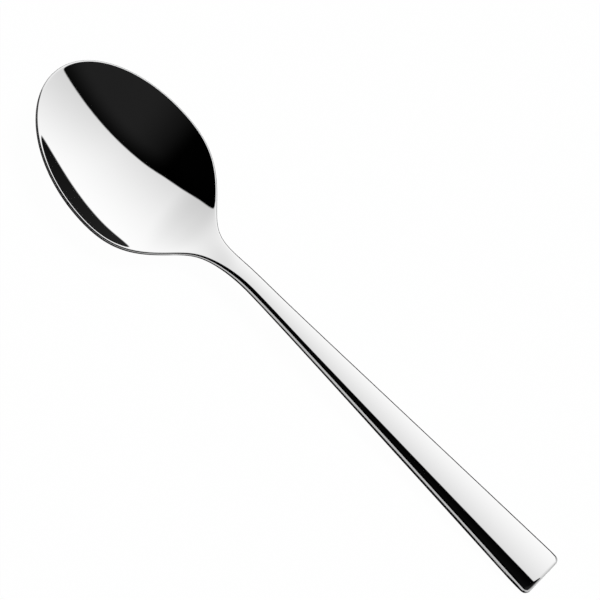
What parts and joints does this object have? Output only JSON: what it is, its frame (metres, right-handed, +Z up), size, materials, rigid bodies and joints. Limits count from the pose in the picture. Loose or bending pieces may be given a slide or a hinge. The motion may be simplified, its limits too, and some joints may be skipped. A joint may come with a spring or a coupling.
{
  "type": "soup spoon",
  "caption": "Mirror-polished stainless steel soup spoon with an egg-shaped bowl, a narrow neck and a straight handle that widens to a square end.",
  "frame": {"origin": "on the table, under the middle of the spoon's length and width, with the spoon lying on its bowl and on the flat under the handle's end", "axes": "+X from the bowl's tip to the handle's end, +Z up, out of the bowl's hollow, +Y across the bowl"},
  "size_m": [0.2, 0.0474, 0.0172],
  "materials": {
    "polished_steel": "mirror-polished stainless steel, bare metal with no coating"
  },
  "bodies": {
    "root": {"spoon": "polished_steel"}
  },
  "joints": []
}
